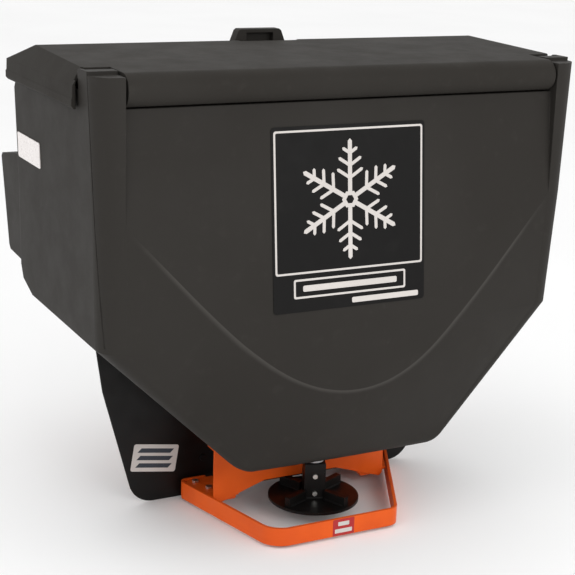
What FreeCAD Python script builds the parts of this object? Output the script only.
import FreeCAD, Part
import math
import os
import re
import Sketcher

# Tailgate salt spreader: a moulded hopper with a hinged lid, hung on a square
# drawbar, with a spinner turned by a gear motor under a hood in the hopper.
#
# Frame: +X to the right seen from the road, +Y towards the truck, +Z up.
# The origin is the centre of the hitch pin hole in the drawbar.
# Two helper directions are used below: "y" is counted back from the front
# plane of the corner posts and "d" is the depth below the flat of the lid.

os.makedirs("parts", exist_ok=True)
Vec = FreeCAD.Vector
doc = FreeCAD.newDocument("SaltSpreader")

# ----------------------------------------------------------------- dimensions
DIMENSIONS = [
    # name, value in mm, meaning
    ("front_y", -640.0, "front plane of the posts, from the hitch pin"),
    ("top_z", 868.0, "flat of the lid above the hitch pin"),
    ("half_width", 525.0, "half width over the corner posts at the top"),
    ("side_draft", 0.03, "inward lean of the side walls per mm of depth"),
    ("wall", 6.0, "moulded wall thickness"),
    ("post_top", 8.5, "depth of the post tops"),
    ("post_radius", 46.0, "rounded outer corner of the posts"),
    ("post_back", 96.0, "back face of the ears behind the posts"),
    ("column_drop", 7.0, "how far the round columns stop below their ears"),
    ("seam_y", 44.0, "seam between column and side wall, at the top"),
    ("recess_half", 468.0, "half width of the recess between the posts"),
    ("rim_depth", 48.0, "depth of the hopper rim under the lid"),
    ("back_y", 507.0, "back wall under the lid"),
    ("back_swell", 12.0, "how far the back wall swells out below the lid"),
    ("back_radius", 10.0, "rounded back corners"),
    ("floor_radius", 26.0, "rounded front corners at the floor"),
    ("floor_round", 22.0, "rounding between the walls and the floor"),
    ("fade_depth", 285.0, "depth where the front panel is flush with the posts"),
    ("panel_tilt", 0.1, "forward lean of the front panel per mm of depth"),
    ("bow_fade", 36.0, "bow of the front face at the flush depth"),
    ("bow_kink", 46.4, "bow of the front face where the sides turn in"),
    ("bow_floor", 2.0, "bow of the front face at the floor"),
    ("belly", 30.0, "extra swell of the front between kink and floor"),
    ("kink_depth", 530.0, "depth where the sides turn inwards"),
    ("floor_depth", 822.0, "underside of the hopper floor"),
    ("floor_left", 208.0, "left edge of the floor"),
    ("floor_right", 246.0, "right edge of the floor"),
    ("floor_back", 283.0, "back edge of the floor"),
    ("floor_front", 22.0, "front edge of the floor"),
    ("step_top", 236.0, "top of the step on the back wall"),
    ("step_bottom", 466.0, "bottom of the step on the back wall"),
    ("step_back", 640.0, "back face of the step"),
    ("outlet_radius", 45.0, "outlet in the floor"),
    ("shaft_y", 118.0, "spinner shaft behind the front plane"),
    ("hinge_y", 31.0, "lid hinge axis behind the front plane"),
    ("hinge_depth", 41.0, "lid hinge axis below the flat of the lid"),
    ("nose_radius", 31.0, "rounded nose of the lid"),
    ("nose_half", 463.0, "half length of the nose"),
    ("pin_radius", 8.0, "lid hinge pins"),
    ("lid_half", 510.0, "half width of the flat of the lid"),
    ("lid_flat_back", 395.0, "back edge of the flat of the lid"),
    ("lid_rim_half", 537.0, "half width of the lid rim"),
    ("lid_rim_back", 520.0, "back of the lid rim"),
    ("lid_rim_bottom", 82.0, "depth of the lid rim"),
    ("lid_wall", 5.0, "lid wall thickness"),
    ("plate", 5.0, "steel plate thickness"),
    ("saddle_y", 178.0, "front face of the saddle plate"),
    ("saddle_half", 206.0, "half width of the saddle plate"),
    ("bar_thick", 6.35, "guard flat bar thickness"),
    ("guard_top", 931.0, "top edge of the guard bar"),
    ("guard_bottom", 969.0, "bottom edge of the guard bar"),
    ("guard_front", -22.0, "outer face of the guard front bar"),
    ("guard_back", 292.0, "back end of the guard"),
    ("guard_left", 164.0, "front left corner of the guard"),
    ("guard_right", 127.0, "front right corner of the guard"),
    ("guard_rear_left", 243.0, "back left corner of the guard"),
    ("guard_rear_right", 282.0, "back right corner of the guard"),
    ("shield_bottom", 974.0, "bottom edge of the spill shield"),
    ("shield_y", 300.0, "front face of the spill shield"),
    ("shield", 3.2, "spill shield thickness"),
    ("tube", 50.8, "drawbar square tube"),
    ("tube_wall", 4.8, "drawbar wall"),
    ("tube_depth", 868.0, "drawbar axis depth"),
    ("tube_end", 690.0, "truck end of the drawbar"),
    ("pin_y", 640.0, "hitch pin behind the front plane"),
    ("pin_hole", 8.15, "hitch pin hole radius"),
    ("disc_radius", 97.0, "spinner disc"),
    ("disc_top", 935.0, "top face of the spinner disc"),
    ("shaft_radius", 12.7, "spinner shaft"),
    ("run_gap", 0.05, "radial running clearance"),
    ("hub", 45.0, "square hub across flats"),
    ("vane_turn", 24.0, "angle of the first vane"),
    ("hood_half", 90.0, "half width of the motor hood"),
]
ALIASES = {name for name, _, _ in DIMENSIONS}
sheet = doc.addObject("Spreadsheet::Sheet", "dims")
for row, (alias, value, meaning) in enumerate(DIMENSIONS, start=1):
    sheet.set("A%d" % row, alias)
    sheet.set("B%d" % row, repr(value))
    sheet.set("C%d" % row, meaning)
    sheet.setAlias("B%d" % row, alias)
doc.recompute()


# -------------------------------------------------------------------- helpers
def formula(text):
    """Turn 'wall * 2' into an expression on the sheet, 'dims.wall * 2'."""
    return re.sub(r"[a-z][a-z_]+", lambda m: "dims." + m.group(0)
                  if m.group(0) in ALIASES else m.group(0), str(text))


def value(text):
    """Number that a formula gives with the sheet as it stands."""
    return float(sheet.evalExpression(formula(text)))


def bind(obj, prop, text):
    obj.setExpression(prop, formula(text))


def move(obj, x=0, y=None, d=None):
    """Bind a position given as x, y behind the front plane and depth d."""
    bind(obj, "Placement.Base.x", x)
    if y is not None:
        bind(obj, "Placement.Base.y", "front_y + (%s)" % y)
    if d is not None:
        bind(obj, "Placement.Base.z", "top_z - (%s)" % d)
    return obj


def turn(obj, axis, angle):
    obj.Placement = FreeCAD.Placement(Vec(0, 0, 0), FreeCAD.Rotation(axis, angle))
    return obj


def box(name, x0, x1, y0, y1, d0, d1):
    """Block between x0..x1, y0..y1 and the depths d0 (top) .. d1 (bottom)."""
    obj = doc.addObject("Part::Box", name)
    bind(obj, "Length", "(%s) - (%s)" % (x1, x0))
    bind(obj, "Width", "(%s) - (%s)" % (y1, y0))
    bind(obj, "Height", "(%s) - (%s)" % (d1, d0))
    return move(obj, x0, y0, d1)


def rod_z(name, x, y, d0, d1, radius):
    obj = doc.addObject("Part::Cylinder", name)
    bind(obj, "Radius", radius)
    bind(obj, "Height", "(%s) - (%s)" % (d1, d0))
    return move(obj, x, y, d1)


def rod_x(name, x0, x1, y, d, radius):
    obj = turn(doc.addObject("Part::Cylinder", name), Vec(0, 1, 0), 90)
    bind(obj, "Radius", radius)
    bind(obj, "Height", "(%s) - (%s)" % (x1, x0))
    return move(obj, x0, y, d)


def rod_y(name, x, y0, y1, d, radius):
    obj = turn(doc.addObject("Part::Cylinder", name), Vec(1, 0, 0), -90)
    bind(obj, "Radius", radius)
    bind(obj, "Height", "(%s) - (%s)" % (y1, y0))
    return move(obj, x, y0, d)


def fuse(name, parts):
    obj = doc.addObject("Part::MultiFuse", name)
    obj.Shapes = parts
    obj.Refine = True
    return obj


def group(name, parts):
    obj = doc.addObject("Part::Compound", name)
    obj.Links = parts
    return obj


def cut(name, base, tools):
    obj = doc.addObject("Part::Cut", name)
    obj.Base = base
    obj.Tool = tools[0] if len(tools) == 1 else group(name + "_tools", tools)
    return obj


def common(name, first, second):
    obj = doc.addObject("Part::Common", name)
    obj.Base = first
    obj.Tool = second
    return obj


def origin_plane(body, role):
    return next(f for f in body.Origin.OriginFeatures if f.Role == role)


def profile(body, name, role, points):
    """Closed outline on an origin plane, every corner tied to the sheet."""
    sketch = body.newObject("Sketcher::SketchObject", name)
    sketch.AttachmentSupport = [(origin_plane(body, role), "")]
    sketch.MapMode = "FlatFace"
    corners = [Vec(value(u), value(v), 0) for u, v in points]
    count = len(corners)
    for i in range(count):
        sketch.addGeometry(Part.LineSegment(corners[i], corners[(i + 1) % count]), False)
    for i in range(count):
        sketch.addConstraint(Sketcher.Constraint("Coincident", i, 2, (i + 1) % count, 1))
    for i, (u, v) in enumerate(points):
        for kind, text, size in (("DistanceX", u, corners[i].x), ("DistanceY", v, corners[i].y)):
            index = sketch.addConstraint(Sketcher.Constraint(kind, -1, 1, i, 1, size))
            sketch.setExpression("Constraints[%d]" % index, formula(text))
    return sketch


def outline_xz(name, points, y0, y1):
    """Outline given as (x, depth), extruded from y0 back to y1."""
    body = doc.addObject("PartDesign::Body", name)
    sketch = profile(body, name + "_sketch", "XZ_Plane", [(u, "-(%s)" % v) for u, v in points])
    pad = body.newObject("PartDesign::Pad", name + "_pad")
    pad.Profile = sketch
    pad.Reversed = True
    bind(pad, "Length", "(%s) - (%s)" % (y1, y0))
    return move(body, 0, y0, 0)


def outline_yz(name, points, x0, x1):
    """Outline given as (y, depth), extruded from x0 to x1."""
    body = doc.addObject("PartDesign::Body", name)
    sketch = profile(body, name + "_sketch", "YZ_Plane", [(u, "-(%s)" % v) for u, v in points])
    pad = body.newObject("PartDesign::Pad", name + "_pad")
    pad.Profile = sketch
    bind(pad, "Length", "(%s) - (%s)" % (x1, x0))
    return move(body, x0, 0, 0)


def outline_xy(name, points, d0, d1):
    """Outline given as (x, y), extruded between the depths d0 and d1."""
    body = doc.addObject("PartDesign::Body", name)
    sketch = profile(body, name + "_sketch", "XY_Plane", points)
    pad = body.newObject("PartDesign::Pad", name + "_pad")
    pad.Profile = sketch
    bind(pad, "Length", "(%s) - (%s)" % (d1, d0))
    return move(body, 0, 0, d1)


def turned(name, points, x, y, d):
    """Solid of revolution about a vertical axis from (radius, depth) points."""
    body = doc.addObject("PartDesign::Body", name)
    sketch = profile(body, name + "_sketch", "XZ_Plane", [(u, "-(%s)" % v) for u, v in points])
    spin = body.newObject("PartDesign::Revolution", name + "_spin")
    spin.Profile = sketch
    spin.ReferenceAxis = (sketch, ["V_Axis"])
    spin.Angle = 360.0
    return move(body, x, y, d)


def straight_edges(shape, direction, test):
    """Names of the straight edges along a direction that pass a test."""
    names = []
    for i, edge in enumerate(shape.Edges, start=1):
        if len(edge.Vertexes) != 2 or edge.Curve.TypeId != "Part::GeomLine":
            continue
        run = edge.Vertexes[1].Point - edge.Vertexes[0].Point
        if abs(abs(run.normalize().dot(direction)) - 1.0) < 1e-3:
            middle = edge.valueAt((edge.FirstParameter + edge.LastParameter) / 2)
            if test(middle):
                names.append("Edge%d" % i)
    return names


def round_edges(body, name, direction, radius, test):
    """Fillet the edges of a body's tip along a direction that pass a test."""
    doc.recompute()
    tip = body.Tip
    fillet = body.newObject("PartDesign::Fillet", name)
    fillet.Base = (tip, straight_edges(tip.Shape, direction, test))
    bind(fillet, "Radius", radius)
    return fillet


NODES = []


def node(label, obj):
    """Register a finished piece under its file name."""
    obj.Label = label
    NODES.append(obj)
    return obj


def hex_bolt(name, radius, grip, nut=True):
    """Bolt along +Z: head above z = 0, shank down to -grip, nut under it."""
    head = doc.addObject("Part::Prism", name + "_head")
    head.Polygon = 6
    bind(head, "Circumradius", "(%s) * 1.85" % radius)
    bind(head, "Height", "(%s) * 1.3" % radius)
    shank = doc.addObject("Part::Cylinder", name + "_shank")
    bind(shank, "Radius", radius)
    tail = "(%s) * 2.2" % radius if nut else "0"
    bind(shank, "Height", "(%s) + %s" % (grip, tail))
    bind(shank, "Placement.Base.z", "-(%s) - %s" % (grip, tail))
    pieces = [head, shank]
    if nut:
        back = doc.addObject("Part::Prism", name + "_nut")
        back.Polygon = 6
        bind(back, "Circumradius", "(%s) * 1.85" % radius)
        bind(back, "Height", "(%s) * 1.6" % radius)
        bind(back, "Placement.Base.z", "-(%s) - (%s) * 1.6" % (grip, radius))
        pieces.append(back)
    return fuse(name, pieces)


TO_Z = (Vec(0, 0, 1), 0)
TO_FRONT = (Vec(1, 0, 0), 90)
TO_BACK = (Vec(1, 0, 0), -90)
TO_DOWN = (Vec(1, 0, 0), 180)


def bolt_group(label, spots, radius, grip, facing, nut=True):
    """Identical bolts with their heads on the given spots (x, y, depth)."""
    bolts = []
    for i, (x, y, d) in enumerate(spots):
        bolt = turn(hex_bolt("%s_%d" % (label, i), radius, grip, nut), *facing)
        bolts.append(move(bolt, x, y, d))
    return node(label, group(label, bolts))


# --------------------------------------------------------------- hopper shell
def ramp(depth, points):
    """Value at a depth on a line drawn straight between (depth, value) points."""
    if depth <= points[0][0]:
        return points[0][1]
    for (d0, v0), (d1, v1) in zip(points, points[1:]):
        if depth <= d1:
            return v0 + (v1 - v0) * (depth - d0) / (d1 - d0)
    return points[-1][1]


def section(depth, inset):
    """Horizontal section of the hopper: bowed front and rounded corners."""
    top, fade = value("post_top"), value("fade_depth")
    kink, floor = value("kink_depth"), value("floor_depth")
    lean_in = value("half_width - side_draft * (kink_depth - post_top)")
    back_y = value("back_y")
    half = {side: ramp(depth, [(top, value("half_width")), (kink, lean_in),
                               (floor, value(edge))]) - inset
            for side, edge in ((-1, "floor_left"), (1, "floor_right"))}
    corner_round = ramp(depth, [(kink, value("post_radius")), (floor, value("floor_radius"))])
    front_radius = max(corner_round - inset, 3.0)
    back_round = ramp(depth, [(kink, value("back_radius")), (floor, value("floor_radius"))])
    back_radius = max(back_round - inset, 3.0)
    bow_end = {side: side * min(value("recess_half") - inset / 2,
                                half[side] - front_radius - 0.5) for side in (-1, 1)}
    bow = ramp(depth, [(fade, value("bow_fade")), (kink, value("bow_kink"))])
    if depth > kink:
        share = (depth - kink) / (floor - kink)
        bow = value("bow_kink") * (1 - share ** 3) + value("bow_floor") * share ** 3
        bow += value("belly") * share * (1 - share)
    front = ramp(depth, [(fade, 0.0), (floor, value("floor_front"))])
    swell = back_y + value("back_swell")
    back = ramp(depth, [(84.0, back_y), (98.0, swell), (fade, swell), (480.0, back_y + 29),
                        (508.0, back_y + 17), (kink, back_y - 44),
                        (floor, value("floor_back"))])
    front_y, z = value("front_y"), value("top_z") - depth
    front, back = front_y + front + inset, front_y + back - inset

    def corner(side, y, radius, inward):
        """Start, middle and end of a rounded corner met from the front or side."""
        lean = radius * (1 - math.sqrt(0.5))
        return [Vec(side * (half[side] - radius), y, z),
                Vec(side * (half[side] - lean), y + inward * lean, z),
                Vec(side * half[side], y + inward * radius, z)]

    right_front, left_front = (corner(side, front, front_radius, 1) for side in (1, -1))
    right_back, left_back = (corner(side, back, back_radius, -1) for side in (1, -1))
    bow_left, bow_right = (Vec(bow_end[side], front, z) for side in (-1, 1))
    bow_middle = Vec((bow_left.x + bow_right.x) / 2, front - bow, z)
    edges = [
        Part.Arc(bow_left, bow_middle, bow_right),
        Part.LineSegment(bow_right, right_front[0]),
        Part.Arc(*right_front),
        Part.LineSegment(right_front[2], right_back[2]),
        Part.Arc(*reversed(right_back)),
        Part.LineSegment(right_back[0], left_back[0]),
        Part.Arc(*left_back),
        Part.LineSegment(left_back[2], left_front[2]),
        Part.Arc(*reversed(left_front)),
        Part.LineSegment(left_front[0], bow_left),
    ]
    return Part.Wire([edge.toShape() for edge in edges])


def hopper_loft(name, stations, ruled):
    """Solid through hopper sections at (depth, inset), sizes read from the sheet."""
    obj = doc.addObject("Part::Feature", name)
    obj.Shape = Part.makeLoft([section(*station) for station in stations], True, ruled)
    return obj


def hopper_solid(name, inset):
    """Walls down to the kink, funnel below it and the rounded way to the floor."""
    floor, kink = value("floor_depth") - inset, value("kink_depth")
    radius = value("floor_round") - inset
    upper = [value("post_top"), 84.0, 98.0, value("fade_depth"), 480.0, 508.0, kink]
    funnel = [kink + (floor - radius - kink) * i / 5 for i in range(6)]
    angles = [math.radians(18 * i) for i in range(6)]
    return fuse(name, [
        hopper_loft(name + "_upper", [(d, inset) for d in upper], True),
        hopper_loft(name + "_funnel", [(d, inset) for d in funnel], False),
        hopper_loft(name + "_floor", [(floor - radius + radius * math.sin(a),
                                       inset + radius * (1 - math.cos(a)))
                                      for a in angles], False)])


hopper_outer = hopper_solid("hopper_outer", 0.0)
hopper_inner = hopper_solid("hopper_inner", value("wall"))


def panel(depth, shift=0):
    """Distance of the leaning front panel behind the front plane."""
    return "(%s) - panel_tilt * ((%s) - fade_depth)" % (shift, depth)


panel_relief = outline_yz("panel_relief", [
    ("-220", "-5"), (panel("-5"), "-5"), (panel("720"), "720"), ("-220", "720")],
    "-recess_half", "recess_half")
cavity_front = outline_yz("cavity_front", [
    ("-220", "-20"), (panel("-20", "wall"), "-20"),
    (panel("780", "wall"), "780"), ("-220", "780")],
    "-half_width - 10", "half_width + 10")
hinge_shelf = box("hinge_shelf", "-half_width - 5", "half_width + 5", "-200", "hinge_y + 41",
                  "-10", "hinge_depth + 40")
cavity = cut("cavity", hopper_inner, [cavity_front, hinge_shelf])
hinge_trough = box("hinge_trough", "-recess_half", "recess_half", "-200", "hinge_y + 35",
                   "-10", "hinge_depth + 33.5")
rim_relief = fuse("rim_relief", [
    box("rim_relief_back", "-half_width - 5", "half_width + 5", "post_back", "back_y + 9",
        "-10", "rim_depth"),
    box("rim_relief_middle", "-recess_half", "recess_half", "hinge_y", "post_back + 2",
        "-10", "rim_depth")])
corner_block = box("corner_block", "-half_width - 5", "half_width + 5", "post_back - 9",
                   "post_back + 5", "post_top - 5", "post_top + 9")
corner_rod = rod_x("corner_rod", "-half_width - 9", "half_width + 9", "post_back - 9",
                   "post_top + 9", "9")
post_rounding = cut("post_rounding", corner_block, [corner_rod])
column_relief = box("column_relief", "-half_width - 5", "half_width + 5", "-20", "seam_y - 1",
                    "-10", "post_top + column_drop")
# Shallow seam where each round column meets the flat side wall.
seam_slab = outline_yz("seam_slab", [
    ("seam_y - 1", "-5"), ("seam_y + 1.4", "-5"), ("seam_y - 14.6", "520"),
    ("seam_y - 17", "520")], "-half_width - 10", "half_width + 10")
seam_core = hopper_loft("seam_core", [(d, 1.4) for d in (value("post_top"), 84.0, 98.0,
                                                         value("fade_depth"), 480.0, 530.0)],
                        True)
seam = cut("seam", seam_slab, [seam_core])
post_bores = [rod_x("post_bore_right", "recess_half - 20", "recess_half + 32", "hinge_y",
                    "hinge_depth", "pin_radius"),
              rod_x("post_bore_left", "-recess_half - 32", "-recess_half + 20", "hinge_y",
                    "hinge_depth", "pin_radius")]
outlet_hole = rod_z("outlet_hole", 0, "shaft_y", "floor_depth - 20", "floor_depth + 20",
                    "outlet_radius")


def side_taper(name, inset):
    """Block as wide as the side walls, with their draft, behind the hopper."""
    top, low = ("half_width - side_draft * (%d - post_top) - %s" % (d, inset) for d in (200, 500))
    return outline_xz(name, [("-(%s)" % top, "200"), (top, "200"), (low, "500"),
                             ("-(%s)" % low, "500")], "back_y - 30", "step_back + 30")


step_outer = common("step_outer", outline_yz("step_side", [
    ("back_y - 4", "step_top"), ("step_back - 8", "step_top + 20"),
    ("step_back", "step_top + 29"), ("step_back - 24", "step_bottom - 9"),
    ("step_back - 32", "step_bottom"), ("back_y - 4", "step_bottom + 5")],
    "-half_width", "half_width"), side_taper("step_width", "0.6"))
step_inner = common("step_inner", outline_yz("step_side_in", [
    ("back_y - 9", "step_top + wall"), ("step_back - 11", "step_top + 20 + wall"),
    ("step_back - wall", "step_top + 32"), ("step_back - 30", "step_bottom - 12"),
    ("step_back - 35", "step_bottom - wall"), ("back_y - 9", "step_bottom - 1")],
    "-half_width", "half_width"), side_taper("step_width_in", "wall + 0.6"))

LATCH_X, LATCH_D = "60", "112"
LATCH_SCREWS = (("46", "138"), ("74", "138"))
BACK_BOLT_X = 180.0
BACK_BOLT_SHARES = (0.16, 0.5)
GLAND_SHARE = 0.58
HOOD_BOLTS = (("70", "62"), ("-70", "62"), ("40", "249"), ("-40", "249"))
BRIDGE_BOLTS = (("-80", "shaft_y"), ("80", "shaft_y"))


def slope_point(share, out=0.0):
    """Point on the outside of the sloped back wall, and its depth."""
    y0, d0 = value("back_y - 44"), value("kink_depth")
    y1, d1 = value("floor_back"), value("floor_depth")
    run = math.hypot(y1 - y0, d1 - d0)
    normal = ((d1 - d0) / run, (y0 - y1) / run)
    return (y0 + (y1 - y0) * share + normal[0] * out,
            d0 + (d1 - d0) * share + normal[1] * out)


SLOPE_ANGLE = math.degrees(math.atan2(value("back_y - 44 - floor_back"),
                                      value("floor_depth - kink_depth")))
TO_SLOPE = (Vec(1, 0, 0), -90 - SLOPE_ANGLE)


def slope_holes(name, radius):
    """Holes square to the sloped back wall, two on each side."""
    holes = []
    for side in (-1, 1):
        for i, share in enumerate(BACK_BOLT_SHARES):
            y, d = slope_point(share, -30)
            hole = turn(doc.addObject("Part::Cylinder", "%s_%d_%d" % (name, side + 1, i)),
                        *TO_SLOPE)
            bind(hole, "Radius", radius)
            hole.Height = 60
            holes.append(move(hole, side * BACK_BOLT_X, y, d))
    return holes


hood_holes = [rod_z("hood_hole_%d" % i, x, y, "floor_depth - 20", "floor_depth + 20", "4.2")
              for i, (x, y) in enumerate(HOOD_BOLTS)]
floor_holes = [rod_z("floor_hole_%d" % i, x, "saddle_y + 25", "floor_depth - 20",
                     "floor_depth + 20", "5.3") for i, x in enumerate(("-140", "140"))]
floor_holes += [rod_z("bridge_floor_hole_%d" % i, x, y, "floor_depth - 20",
                      "floor_depth + 20", "3.3") for i, (x, y) in enumerate(BRIDGE_BOLTS)]
hopper_body = fuse("hopper_body", [
    cut("hopper_front", hopper_outer, [panel_relief, hinge_trough, rim_relief, post_rounding,
                                       column_relief, seam]),
    step_outer])
gland_hole = turn(doc.addObject("Part::Cylinder", "gland_hole"), *TO_SLOPE)
bind(gland_hole, "Radius", "8.4")
gland_hole.Height = 60
move(gland_hole, "-90", *slope_point(GLAND_SHARE, -30))
hopper = node("hopper_shell", cut("hopper", hopper_body, [
    cavity, step_inner, outlet_hole, gland_hole] + post_bores + hood_holes + floor_holes
    + [rod_y("latch_hole_%d" % i, x, "back_y - 10", "back_y + 30", d, "3.2")
       for i, (x, d) in enumerate(LATCH_SCREWS)]
    + slope_holes("hopper_slope_hole", "5.3")))

# ------------------------------------------------------------------------ lid
LID_SIDE = "lid_rim_half - 2"
lid_across = outline_xz("lid_across", [
    ("-lid_half", "-1"), ("lid_half", "-1"), (LID_SIDE, "40"), (LID_SIDE + " + 0.6", "62"),
    ("lid_rim_half", "64"), ("lid_rim_half", "lid_rim_bottom - 5"),
    ("lid_rim_half - 4", "lid_rim_bottom"), ("-lid_rim_half + 4", "lid_rim_bottom"),
    ("-lid_rim_half", "lid_rim_bottom - 5"), ("-lid_rim_half", "64"),
    ("-(%s) - 0.6" % LID_SIDE, "62"), ("-(%s)" % LID_SIDE, "40")],
    "0", "lid_rim_back + 10")
lid_along = outline_yz("lid_along", [
    ("hinge_y", "hinge_depth - nose_radius"), ("lid_flat_back", "0"),
    ("lid_rim_back - 2", "40"), ("lid_rim_back - 1.4", "62"), ("lid_rim_back", "64"),
    ("lid_rim_back", "lid_rim_bottom - 2"), ("lid_rim_back - 2", "lid_rim_bottom"),
    ("hinge_y", "lid_rim_bottom")],
    "-lid_rim_half - 5", "lid_rim_half + 5")
lid_block = common("lid_block", lid_across, lid_along)
nose = rod_x("nose", "-nose_half", "nose_half", "hinge_y", "hinge_depth", "nose_radius")
lid_across_in = outline_xz("lid_across_in", [
    ("-lid_half + 2", "-10"), ("lid_half - 2", "-10"), ("lid_half - 2", "lid_wall"),
    ("lid_rim_half - 9", "41"), ("lid_rim_half - 9", "100"),
    ("-lid_rim_half + 9", "100"), ("-lid_rim_half + 9", "41"),
    ("-lid_half + 2", "lid_wall")],
    "-20", "lid_rim_back + 20")
lid_along_in = outline_yz("lid_along_in", [
    ("hinge_y + 33.5", "hinge_depth - nose_radius + lid_wall"), ("lid_flat_back - 3", "lid_wall"),
    ("lid_rim_back - 11", "42"), ("lid_rim_back - 11", "100"), ("hinge_y + 33.5", "100")],
    "-lid_rim_half - 5", "lid_rim_half + 5")
lid_cavity = common("lid_cavity", lid_across_in, lid_along_in)
notches = [box("lid_notch_%d" % i, x0, x1, "-30", y1, "-20", "120")
           for i, (x0, x1, y1) in enumerate((
               ("nose_half", "lid_half + 3", "post_back + 1.5"),
               ("-lid_half - 3", "-nose_half", "post_back + 1.5"),
               ("lid_half + 2", "lid_rim_half - 8", "post_back + 9"),
               ("-lid_rim_half + 8", "-lid_half - 2", "post_back + 9"),
               ("lid_rim_half - 9", "lid_rim_half + 20", "post_back - 1"),
               ("-lid_rim_half - 20", "-lid_rim_half + 9", "post_back - 1")))]
below_nose = box("below_nose", "-lid_rim_half", "lid_rim_half", "hinge_y - 5", "hinge_y + 34",
                 "hinge_depth", "120")
HANDLE_HALF = "64"
handle_notch = fuse("handle_notch", [
    box("handle_well", "-66", "66", "lid_rim_back - 86", "lid_rim_back + 20", "-30", "40"),
    box("handle_dip", "-70", "70", "lid_flat_back - 11", "lid_rim_back + 20", "-30", "6")])
handle_sides = fuse("handle_sides", [
    box("well_walls", "-72", "72", "lid_rim_back - 92", "lid_rim_back - 9", "10", "46"),
    box("dip_floor", "-76", "76", "lid_flat_back - 17", "lid_rim_back - 40", "4", "11")])
nose_bores = [rod_x("nose_bore_right", "nose_half - 25", "nose_half + 5", "hinge_y",
                    "hinge_depth", "pin_radius + run_gap"),
              rod_x("nose_bore_left", "-nose_half - 5", "-nose_half + 25", "hinge_y",
                    "hinge_depth", "pin_radius + run_gap")]
handle_screw_spots = [("-46", "lid_rim_back - 42"), ("46", "lid_rim_back - 42")]
handle_screw_holes = [rod_z("handle_screw_hole_%d" % i, x, y, "20", "60", "3.2")
                      for i, (x, y) in enumerate(handle_screw_spots)]
KEEPER_SPOTS = (("-24", "69"), ("24", "69"))
keeper_holes = [rod_y("keeper_hole_%d" % i, x, "lid_rim_back - 20", "lid_rim_back + 10",
                      d, "2.7") for i, (x, d) in enumerate(KEEPER_SPOTS)]
lid_tray = cut("lid_tray", lid_block, [below_nose, lid_cavity] + notches)
lid_pocket = common("lid_pocket", handle_sides, lid_block)
lid_body = fuse("lid_body", [lid_tray, nose, lid_pocket])
lid = node("lid_shell", cut("lid", lid_body, [handle_notch] + nose_bores
                            + handle_screw_holes + keeper_holes))

hinge_pins = node("lid_hinge_pins", group("hinge_pins", [
    rod_x("hinge_pin_right", "nose_half - 22", "recess_half + 30", "hinge_y", "hinge_depth",
          "pin_radius"),
    rod_x("hinge_pin_left", "-recess_half - 30", "-nose_half + 22", "hinge_y", "hinge_depth",
          "pin_radius")]))

handle_profile = outline_xz("handle_profile", [
    ("-" + HANDLE_HALF, "39.8"), ("-" + HANDLE_HALF, "14"), ("-60", "8"), ("-51", "-15"),
    ("-46", "-19"), ("46", "-19"), ("51", "-15"), ("60", "8"), (HANDLE_HALF, "14"),
    (HANDLE_HALF, "39.8")],
    "lid_rim_back - 84", "lid_rim_back - 26")
handle_pocket = box("handle_pocket", "-32", "32", "lid_rim_back - 90", "lid_rim_back - 66",
                    "-11", "8")
handle_foot = box("handle_foot", "-80", "80", "lid_rim_back - 58", "lid_rim_back",
                  "-40", "32")
handle_holes = [rod_z("handle_hole_%d" % i, x, y, "20", "60", "3.2")
                for i, (x, y) in enumerate(handle_screw_spots)]
node("lid_handle", cut("handle", handle_profile, [handle_pocket, handle_foot] + handle_holes))
bolt_group("lid_handle_screws", [(x, y, "32") for x, y in handle_screw_spots], "3",
           "14", TO_Z)

# --------------------------------------------------------- lid latch and keeper
keeper_profile = outline_yz("keeper_profile", [
    ("lid_rim_back + 0.2", "64"), ("lid_rim_back + 3.2", "64"), ("lid_rim_back + 3.2", "74"),
    ("lid_rim_back + 25", "74"), ("lid_rim_back + 25", "77"), ("lid_rim_back + 0.2", "77")],
    "-34", "34")
node("latch_keeper", cut("keeper", keeper_profile, [
    rod_y("keeper_bore_%d" % i, x, "lid_rim_back - 5", "lid_rim_back + 10", d, "2.7")
    for i, (x, d) in enumerate(KEEPER_SPOTS)]))
bolt_group("keeper_screws", [(x, "lid_rim_back + 3.2", d) for x, d in KEEPER_SPOTS],
           "2.5", "13", TO_BACK, nut=False)
latch_base = box("latch_base", "36", "84", "back_y + 12.3", "back_y + 16.3", "99", "153")
latch_post = rod_y("latch_post", LATCH_X, "back_y + 14", "lid_rim_back + 21", LATCH_D, "6")
latch_shoulder = rod_y("latch_shoulder", LATCH_X, "back_y + 14", "lid_rim_back + 7.8",
                       LATCH_D, "9")
latch_cap = rod_y("latch_cap", LATCH_X, "lid_rim_back + 20.3", "lid_rim_back + 24", LATCH_D, "10")
node("latch_bracket", cut("latch_bracket_body", fuse("latch_bracket_fused", [
    latch_base, latch_post, latch_shoulder, latch_cap]),
    [rod_y("latch_base_hole_%d" % i, x, "back_y + 5", "back_y + 20", d, "3.2")
     for i, (x, d) in enumerate(LATCH_SCREWS)]))
bolt_group("latch_screws", [(x, "back_y + 16.3", d) for x, d in LATCH_SCREWS], "3",
           "10.6", TO_BACK)
# The arm rests swung open to the side; turned a quarter it hooks over the keeper.
arm_leg = box("arm_leg", LATCH_X, "%s + 52" % LATCH_X, "lid_rim_back + 8", "lid_rim_back + 20",
              "106", "118")
arm_hook = box("arm_hook", "%s + 39" % LATCH_X, "%s + 52" % LATCH_X, "lid_rim_back + 8",
               "lid_rim_back + 20", "62", "118")
arm_boss = rod_y("arm_boss", LATCH_X, "lid_rim_back + 8", "lid_rim_back + 20", LATCH_D, "12")
arm_bore = rod_y("arm_bore", LATCH_X, "lid_rim_back", "lid_rim_back + 40", LATCH_D,
                 "6 + run_gap")
node("latch_arm", cut("latch_arm_body", fuse("latch_arm_fused", [
    arm_leg, arm_hook, arm_boss]), [arm_bore]))

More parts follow.
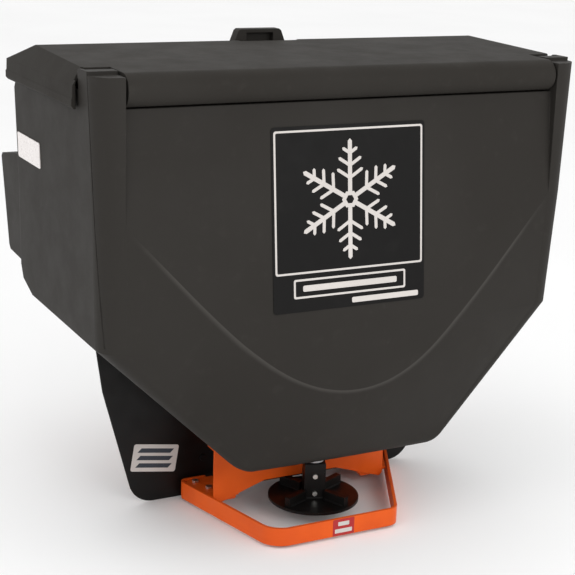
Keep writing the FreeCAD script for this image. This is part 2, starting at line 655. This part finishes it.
# ------------------------------------------------------- plates on the hopper
SIDE_LEAN = math.degrees(math.atan(value("side_draft")))
reflectors = []
for side in (-1, 1):
    plate = outline_yz("reflector_%d" % (side + 1), [
        ("0", "0"), ("150", "0"), ("150", "52"), ("0", "52")], "0", "1.6")
    round_edges(plate, "reflector_round_%d" % (side + 1), Vec(1, 0, 0), "5",
                lambda point: True)
    turn(plate, Vec(0, 1, 0), side * SIDE_LEAN)
    gap = 0.3 if side > 0 else -1.9
    lean = "%d * (half_width - side_draft * (188 - post_top)) + (%s)" % (side, gap)
    move(plate, lean, "348", "188")
    reflectors.append(plate)
node("side_reflectors", group("reflectors", reflectors))

DECAL_LEAN = math.degrees(math.atan(value("panel_tilt")))
decal = outline_xz("decal", [("-176", "0"), ("162", "0"), ("162", "358"), ("-176", "358")],
                   "0", "0.8")
round_edges(decal, "decal_round", Vec(0, 1, 0), "7", lambda point: True)
turn(decal, Vec(1, 0, 0), -DECAL_LEAN)
move(decal, 0, panel("120", "-1.2"), "120")
node("front_decal", decal)

# --------------------------------------------------------------- saddle frame
SLEEVE = "tube / 2 + 0.4"
saddle_sheet = outline_xz("saddle_sheet", [
    ("-saddle_half", "floor_depth + 0.4"), ("saddle_half", "floor_depth + 0.4"),
    ("saddle_half", "guard_top + 21"), ("120", "guard_top - 8"), ("86", "guard_top - 19"),
    ("-86", "guard_top - 19"), ("-120", "guard_top - 8"), ("-saddle_half", "guard_top + 21")],
    "saddle_y", "saddle_y + plate")
round_edges(saddle_sheet, "saddle_round", Vec(0, 1, 0), "9",
            lambda point: abs(point.x) > value("saddle_half") - 1)
saddle_top = box("saddle_top", "-180", "180", "saddle_y + plate - 1", "saddle_y + 45",
                 "floor_depth + 0.4", "floor_depth + 0.4 + plate")
SADDLE_BOLTS = (("-140", "saddle_y + 25"), ("140", "saddle_y + 25"))
node("saddle_plate", cut("saddle_plate_body", fuse("saddle_plate_fused", [
    saddle_sheet, saddle_top]), [
    rod_z("saddle_hole_%d" % i, x, y, "floor_depth - 5", "floor_depth + 15", "5.3")
    for i, (x, y) in enumerate(SADDLE_BOLTS)]))

rear_plate = box("rear_plate", "-saddle_half", "saddle_half", "shield_y + shield + 0.4",
                 "shield_y + shield + 0.4 + plate", "floor_depth - 14", "guard_top - 19")
SHIELD_BOLTS = [(x, d) for x in ("-180", "-90", "90", "180") for d in ("826", "892")]
shield_holes = [rod_y("shield_hole_%d" % i, x, "shield_y - 20", "shield_y + 30", d, "4.2")
                for i, (x, d) in enumerate(SHIELD_BOLTS)]
tube_window = box("tube_window", "-(%s)" % SLEEVE, SLEEVE, "shield_y - 20", "shield_y + 60",
                  "tube_depth - (%s)" % SLEEVE, "tube_depth + (%s)" % SLEEVE)
node("rear_cross_plate", cut("rear_plate_body", rear_plate, [tube_window] + shield_holes))

# Horizontal gussets inside the guard, bolted down on ears of the saddle plate.
gussets, ears = [], []
for side, near, far in ((-1, "208", "229"), (1, "218", "260")):
    out = "%d * " % side
    gussets.append(outline_xy("gusset_%d" % (side + 1), [
        (out + "146", "saddle_y + plate + 0.2"), (out + near, "saddle_y + plate + 0.2"),
        (out + far, "guard_back - 20"), (out + "(%s - 8)" % far, "guard_back - 7"),
        (out + "146", "guard_back - 7")], "guard_top + 2", "guard_top + 2 + plate"))
    ears.append(outline_xy("ear_%d" % (side + 1), [
        (out + "152", "saddle_y + plate + 0.2"), (out + "(saddle_half - 1)",
                                                  "saddle_y + plate + 0.2"),
        (out + "216", "238"), (out + "222", "280"), (out + "152", "280")],
        "guard_top + 2.2 + plate", "guard_top + 2.2 + plate * 2"))
GUARD_BOLTS = [(x, y) for side in (-1, 1)
               for x, y in (("%d * 210" % side, "268"), ("%d * 196" % side, "228"))]


def guard_holes(name):
    return [rod_z("%s_%d" % (name, i), x, y, "guard_top - 5", "guard_top + 40", "4.3")
            for i, (x, y) in enumerate(GUARD_BOLTS)]


node("guard_gussets", cut("gussets_body", group("gussets", gussets), guard_holes("gusset_hole")))
node("saddle_ears", cut("ears_body", group("ears", ears), guard_holes("ear_hole")))

# Under-floor rails tie the two plates together on each side.
rails = [outline_xz("rail_%d" % (side + 1), [
    ("%d * 168" % side, "floor_depth + 6.2"), ("%d * 132" % side, "floor_depth + 6.2"),
    ("%d * 132" % side, "floor_depth + 11.2"), ("%d * 163" % side, "floor_depth + 11.2"),
    ("%d * 163" % side, "floor_depth + 46"), ("%d * 168" % side, "floor_depth + 46")],
    "saddle_y + plate + 0.3", "shield_y - 0.3") for side in (-1, 1)]
node("floor_rails", cut("floor_rails_body", group("rails", rails), [
    rod_z("rail_hole_%d" % i, x, y, "floor_depth - 5", "floor_depth + 25", "5.3")
    for i, (x, y) in enumerate(SADDLE_BOLTS)]))
bolt_group("saddle_bolts", [(x, y, "floor_depth - wall") for x, y in SADDLE_BOLTS], "5",
           "wall + 11.4", TO_Z)

drawbar_outer = box("drawbar_outer", "-tube / 2", "tube / 2", "saddle_y + plate + 0.2",
                    "tube_end", "tube_depth - tube / 2", "tube_depth + tube / 2")
drawbar_inner = box("drawbar_inner", "-tube / 2 + tube_wall", "tube / 2 - tube_wall",
                    "saddle_y", "tube_end + 10", "tube_depth - tube / 2 + tube_wall",
                    "tube_depth + tube / 2 - tube_wall")
pin_hole = rod_x("pin_hole_cut", "-60", "60", "pin_y", "tube_depth", "pin_hole")
node("hitch_drawbar", cut("drawbar", drawbar_outer, [drawbar_inner, pin_hole]))

FOOT_Y = "shield_y + shield + plate + 0.8"
braces = []
for side in (-1, 1):
    inner = [slope_point(0.04, 0.4), slope_point(0.8586, 0.4)]
    outer = [slope_point(0.852, 8.4), slope_point(0.04, 8.4)]
    braces.append(outline_yz("brace_%d" % (side + 1), [
        inner[0], outer[1], (FOOT_Y + " + 8", outer[0][1]), (FOOT_Y + " + 8", "guard_top - 30"),
        (FOOT_Y, "guard_top - 30"), (FOOT_Y, inner[1][1])],
        "%d * 180 - 25" % side, "%d * 180 + 25" % side))
node("back_braces", cut("braces_body", group("braces", braces),
                        slope_holes("brace_hole", "5.3") + [
    rod_y("brace_shield_hole_%d" % i, x, "shield_y - 20", "shield_y + 40", d, "4.2")
    for i, (x, d) in enumerate(SHIELD_BOLTS) if abs(float(x)) > 100]))
slope_bolts = []
for side in (-1, 1):
    for i, share in enumerate(BACK_BOLT_SHARES):
        bolt = turn(hex_bolt("slope_bolt_%d_%d" % (side + 1, i), "5", "wall + 9.2"), *TO_SLOPE)
        y, d = slope_point(share, 9.0)
        slope_bolts.append(move(bolt, side * BACK_BOLT_X, y, d))
node("brace_bolts", group("brace_bolts", slope_bolts))

# ---------------------------------------------------------------------- guard
guard_solid = outline_xy("guard", [
    ("-guard_left", "guard_front"), ("guard_right", "guard_front"),
    ("guard_rear_right", "guard_back"), ("-guard_rear_left", "guard_back")],
    "guard_top", "guard_bottom")
round_edges(guard_solid, "guard_left_bend", Vec(0, 0, 1), "52",
            lambda point: point.y < 0 and point.x < 0)
round_edges(guard_solid, "guard_right_bend", Vec(0, 0, 1), "30",
            lambda point: point.y < 0 and point.x > 60)
round_edges(guard_solid, "guard_rear_bend", Vec(0, 0, 1), "16",
            lambda point: point.y > value("guard_back") - 1)
doc.recompute()
guard_tip = guard_solid.Tip
guard_wall = guard_solid.newObject("PartDesign::Thickness", "guard_wall")
guard_wall.Base = (guard_tip, ["Face%d" % (i + 1) for i, face in enumerate(guard_tip.Shape.Faces)
                               if abs(face.normalAt(0, 0).z) > 0.99])
bind(guard_wall, "Value", "bar_thick")
guard_wall.Reversed = True
guard_wall.Mode = 0
guard_wall.Join = 0
guard_opening = box("guard_opening", "-178", "221", "guard_back - 30", "guard_back + 30",
                    "guard_top - 5", "guard_bottom + 5")
node("spinner_guard", cut("guard_body", guard_solid, [guard_opening]))
bolt_group("guard_bolts", [(x, y, "guard_top + 2") for x, y in GUARD_BOLTS], "4",
           "plate * 2 + 0.2", TO_Z)

# --------------------------------------------------------------- spill shield
shield_sheet = outline_xz("shield_sheet", [
    ("-423", "615.5"), ("-233.5", "800"), ("268", "800"), ("438", "613"), ("421", "640"),
    ("409", "711"), ("338", "shield_bottom"), ("-338", "shield_bottom"), ("-409", "711")],
    "shield_y", "shield_y + shield")
round_edges(shield_sheet, "shield_round", Vec(0, 1, 0), "55",
            lambda point: point.z < 5 - value("shield_bottom"))
node("spill_shield", cut("shield_body", shield_sheet, [
    box("shield_window", "-(%s) - 3" % SLEEVE, SLEEVE + " + 3", "shield_y - 20", "shield_y + 60",
        "tube_depth - (%s) - 3" % SLEEVE, "tube_depth + (%s) + 3" % SLEEVE)] + [
    rod_y("sheet_hole_%d" % i, x, "shield_y - 20", "shield_y + 30", d, "4.2")
    for i, (x, d) in enumerate(SHIELD_BOLTS)]))
near = [(x, "shield_y", d) for x, d in SHIELD_BOLTS if abs(float(x)) < 100]
far = [(x, "shield_y", d) for x, d in SHIELD_BOLTS if abs(float(x)) > 100]
bolt_group("shield_bolts", near, "4", "shield + plate + 0.4", TO_FRONT)
bolt_group("brace_foot_bolts", far, "4", "shield + plate + 8.8", TO_FRONT)

# ----------------------------------------------------- outlet and lower bearing
node("outlet_ring", turned("ring", [
    ("outlet_radius + 0.5", "floor_depth + 0.3"), ("outlet_radius + 12", "floor_depth + 0.3"),
    ("outlet_radius + 12", "floor_depth + 4.3"), ("outlet_radius + 6", "floor_depth + 4.3"),
    ("outlet_radius + 6", "floor_depth + 13"), ("outlet_radius + 0.5", "floor_depth + 13")],
    "0", "shaft_y", "0"))
bridge_bar = box("bridge_bar", "-94", "94", "shaft_y - 18", "shaft_y + 18",
                 "floor_depth + 13.3", "floor_depth + 18.3")
bridge_feet = [rod_z("bridge_foot_%d" % i, x, y, "floor_depth + 0.3", "floor_depth + 14", "8")
               for i, (x, y) in enumerate(BRIDGE_BOLTS)]
node("bearing_bridge", cut("bridge_body", fuse("bridge_fused", [bridge_bar] + bridge_feet), [
    rod_z("bridge_bore", 0, "shaft_y", "floor_depth", "floor_depth + 30", "shaft_radius + 2")] + [
    rod_z("bridge_hole_%d" % i, x, y, "floor_depth", "floor_depth + 30", "3.3")
    for i, (x, y) in enumerate(BRIDGE_BOLTS)]))
bolt_group("outlet_bolts", [(x, y, "floor_depth - wall") for x, y in BRIDGE_BOLTS], "3",
           "wall + 18.4", TO_Z)
node("shaft_bearing", turned("shaft_bearing", [
    ("shaft_radius + run_gap", "floor_depth + 18.5"), ("25", "floor_depth + 18.5"),
    ("25", "floor_depth + 25"), ("20", "floor_depth + 30"), ("20", "floor_depth + 34"),
    ("shaft_radius + run_gap", "floor_depth + 34")], "0", "shaft_y", "0"))

# -------------------------------------------------------- hood, motor, gearbox
HOOD_TOP = "628"
PLATE_TOP = "745.4"
ridge = outline_xz("ridge", [
    ("-hood_half", "755"), ("-hood_half", "700"), ("0", HOOD_TOP), ("hood_half", "700"),
    ("hood_half", "755"), ("hood_half - 28", "755"), ("hood_half - 28", "751"),
    ("hood_half - 4", "751"), ("hood_half - 4", "702"), ("0", HOOD_TOP + " + 5.1"),
    ("-hood_half + 4", "702"), ("-hood_half + 4", "751"), ("-hood_half + 28", "751"),
    ("-hood_half + 28", "755")], "52", "292")
caps = [outline_xz("hood_cap_%d" % i, [
    ("-hood_half + 0.5", "754"), ("-hood_half + 0.5", "700"), ("0", HOOD_TOP + " + 0.5"),
    ("hood_half - 0.5", "700"), ("hood_half - 0.5", "754")], y0, y1)
    for i, (y0, y1) in enumerate((("52", "56"), ("288", "292")))]
legs = [box("hood_leg_front", "-62", "62", "56", "60", "753", "floor_depth - wall - 0.3"),
        box("hood_foot_front", "-82", "82", "50", "72", "floor_depth - wall - 4.3",
            "floor_depth - wall - 0.3"),
        box("hood_leg_rear", "-62", "62", "236", "240", "753", "floor_depth - wall - 0.3"),
        box("hood_foot_rear", "-62", "62", "236", "258", "floor_depth - wall - 4.3",
            "floor_depth - wall - 0.3"),
        box("hood_tie_front", "-hood_half + 1", "hood_half - 1", "52", "60", "751", "755"),
        box("hood_tie_rear", "-hood_half + 1", "hood_half - 1", "232", "258", "751", "755")]
node("motor_hood", cut("motor_hood_body", fuse("motor_hood_fused", [ridge] + caps + legs), [
    rod_z("hood_foot_hole_%d" % i, x, y, "floor_depth - 20", "floor_depth", "4.2")
    for i, (x, y) in enumerate(HOOD_BOLTS)]))
bolt_group("hood_bolts", [(x, y, "floor_depth - wall - 4.3") for x, y in HOOD_BOLTS], "4",
           "wall + 4.5", TO_Z)
GEARBOX_BOLTS = [(x, "shaft_y + (%s)" % y) for x in ("-32", "32") for y in ("-36", "36")]
node("motor_plate", cut("motor_plate_body",
                        box("motor_plate_bar", "-hood_half + 5", "hood_half - 5", "58", "286",
                            PLATE_TOP, PLATE_TOP + " + 5"),
                        [rod_z("plate_bore", 0, "shaft_y", "700", "780", "18")] + [
                            rod_z("plate_hole_%d" % i, x, y, "700", "780", "3.3")
                            for i, (x, y) in enumerate(GEARBOX_BOLTS)]))
gearbox_case = box("gearbox_case", "-44", "44", "shaft_y - 48", "shaft_y + 48", "682",
                   PLATE_TOP + " - 0.2")
gearbox_top = rod_z("gearbox_top", 0, "shaft_y", "672", "684", "26")
gearbox_neck = rod_y("gearbox_neck", 0, "shaft_y + 47", "shaft_y + 56", "713", "26")
node("gearbox", cut("gearbox_body", fuse("gearbox_fused", [
    gearbox_case, gearbox_top, gearbox_neck]), [
    rod_z("gearbox_bore", 0, "shaft_y", "600", "780", "shaft_radius + run_gap")] + [
    rod_z("gearbox_tap_%d" % i, x, y, "728", "780", "3.3")
    for i, (x, y) in enumerate(GEARBOX_BOLTS)]))
bolt_group("gearbox_bolts", [(x, y, PLATE_TOP + " + 5") for x, y in GEARBOX_BOLTS], "3",
           "18", TO_DOWN, nut=False)
node("gear_motor", fuse("gear_motor_body", [
    rod_y("motor_can", 0, "shaft_y + 60", "shaft_y + 150", "713", "31"),
    rod_y("motor_face", 0, "shaft_y + 56.2", "shaft_y + 62", "713", "28"),
    rod_y("motor_end", 0, "shaft_y + 148", "shaft_y + 160", "713", "26"),
    box("motor_terminals", "-12", "12", "shaft_y + 118", "shaft_y + 142", "672", "690")]))
gland = hex_bolt("gland_body", "8", "wall + 0.4")
gland_bore = doc.addObject("Part::Cylinder", "gland_bore")
gland_bore.Radius = 4.5
gland_bore.Height = 120
gland_bore.Placement.Base = Vec(0, 0, -60)
gland_cut = turn(cut("gland", gland, [gland_bore]), *TO_SLOPE)
node("cable_gland", move(gland_cut, "-90", *slope_point(GLAND_SHARE, 0.2)))

# ------------------------------------------------------------- turning pieces
HUB_BOLT_DEPTHS = ("885", "924")
TURN = value("vane_turn")
HUB_TURN = 45.0
VANE_START = 32.6


def around_shaft(obj, radial, sideways, d, extra=0.0):
    """Place a block by its radial and sideways start, turned about the shaft."""
    angle = math.radians(TURN + extra)
    x = radial * math.cos(angle) - sideways * math.sin(angle)
    y = radial * math.sin(angle) + sideways * math.cos(angle)
    turn(obj, Vec(0, 0, 1), TURN + extra)
    return move(obj, x, "shaft_y + (%r)" % y, d)


def cross_rod(name, radius, depths):
    """Rods through hub and shaft, square to the hub's front left face."""
    rods = []
    for i, d in enumerate(depths):
        angle = math.radians(TURN + HUB_TURN + 180)
        rod = doc.addObject("Part::Cylinder", "%s_%d" % (name, i))
        bind(rod, "Radius", radius)
        rod.Height = 120
        away = Vec(math.cos(angle), math.sin(angle), 0)
        rod.Placement = FreeCAD.Placement(Vec(0, 0, 0), FreeCAD.Rotation(Vec(0, 0, 1), away))
        rods.append(move(rod, -60 * away.x, "shaft_y + (%r)" % (-60 * away.y), d))
    return rods


shaft = rod_z("shaft_bar", 0, "shaft_y", "666", "disc_top + 14", "shaft_radius")
node("drive_shaft", cut("drive_shaft_body", shaft, cross_rod("shaft_cross", "3.2",
                                                            HUB_BOLT_DEPTHS)))
hub_block = doc.addObject("Part::Box", "hub_block")
bind(hub_block, "Length", "hub")
bind(hub_block, "Width", "hub")
bind(hub_block, "Height", "disc_top - 0.2 - floor_depth - 36")
around_shaft(hub_block, -value("hub") / 2, -value("hub") / 2, "disc_top - 0.2", HUB_TURN)
node("spinner_hub", cut("spinner_hub_body", hub_block, [
    rod_z("hub_bore", 0, "shaft_y", "800", "960", "shaft_radius + 0.02")]
    + cross_rod("hub_cross", "3.2", HUB_BOLT_DEPTHS)))
hub_bolts = []
for i, d in enumerate(HUB_BOLT_DEPTHS):
    angle = math.radians(TURN + HUB_TURN + 180)
    away = Vec(math.cos(angle), math.sin(angle), 0)
    bolt = hex_bolt("hub_bolt_%d" % i, "3", "hub")
    bolt.Placement = FreeCAD.Placement(Vec(0, 0, 0), FreeCAD.Rotation(Vec(0, 0, 1), away))
    reach = value("hub") / 2
    hub_bolts.append(move(bolt, reach * away.x, "shaft_y + (%r)" % (reach * away.y), d))
node("hub_clamp_bolts", group("hub_bolts", hub_bolts))

disc_plate = turned("disc_plate", [
    ("shaft_radius + 0.02", "disc_top"), ("disc_radius", "disc_top"),
    ("disc_radius", "disc_top + 6"), ("disc_radius - 3", "disc_top + 6"),
    ("disc_radius - 3", "disc_top + 4"), ("24", "disc_top + 4"), ("24", "disc_top + 8"),
    ("shaft_radius + 0.02", "disc_top + 8")], "0", "shaft_y", "0")
node("spinner_disc", disc_plate)
vanes = []
for i in range(4):
    vane = doc.addObject("Part::Box", "vane_%d" % i)
    vane.Length = value("disc_radius") - 9 - VANE_START
    vane.Width = 14
    vane.Height = 19
    vanes.append(around_shaft(vane, VANE_START, -7, "disc_top - 0.2", 90.0 * i))
node("spinner_vanes", group("vanes", vanes))
node("shaft_collar", turned("shaft_collar", [
    ("shaft_radius + 0.02", "disc_top + 8.2"), ("21", "disc_top + 8.2"),
    ("21", "disc_top + 13"), ("shaft_radius + 0.02", "disc_top + 13")], "0", "shaft_y", "0"))
agitator_collar = turned("agitator_collar", [
    ("shaft_radius + 0.02", "762"), ("21", "762"), ("21", "812"),
    ("shaft_radius + 0.02", "812")], "0", "shaft_y", "0")
fingers = []
for i in range(4):
    finger = doc.addObject("Part::Box", "finger_%d" % i)
    finger.Length = 36
    finger.Width = 10
    finger.Height = 8
    fingers.append(around_shaft(finger, 19.0, -5, "%d" % (780 + 8 * i), 90.0 * i))
node("agitator", fuse("agitator_body", [agitator_collar] + fingers))

# --------------------------------------------------------------- rest and check
PADS = (("-395", "-345"), ("345", "395"))
node("lid_rest_pads", group("rest_pads", [
    box("rest_pad_%d" % i, x0, x1, "back_y - wall - 12", "back_y - wall - 0.3", "42", "82")
    for i, (x0, x1) in enumerate(PADS)]))
# The screen is a layer of long bars welded on a layer of cross rods.
node("screen_bars", group("screen_bars_body", [
    box("screen_bar_%d" % i, str(x - 3), str(x + 3), "40", "back_y - wall - 20", "150", "156")
    for i, x in enumerate(range(-480, 481, 60))]))
node("screen_rods", group("screen_rods_body", [
    box("screen_rod_%d" % i, "-505", "505", str(y - 3), str(y + 3), "156", "161")
    for i, y in enumerate((43, 150, 257, 364, 471))]))
ledges = [box("ledge_%d" % i, x0, x1, "60", "460", "161.4", "173")
          for i, (x0, x1) in enumerate((("-514.0", "-490"), ("490", "514.0")))]
node("screen_ledges", group("screen_ledges_body", ledges))

doc.recompute()
for obj in doc.Objects:
    assert "Invalid" not in obj.State and "Error" not in obj.State, obj.Name
for obj in NODES:
    shape = obj.Shape
    assert not shape.isNull() and shape.isValid() and shape.Volume > 0, obj.Label
    shape.exportStep("parts/%s.step" % obj.Label)
print(len(NODES), "pieces written")
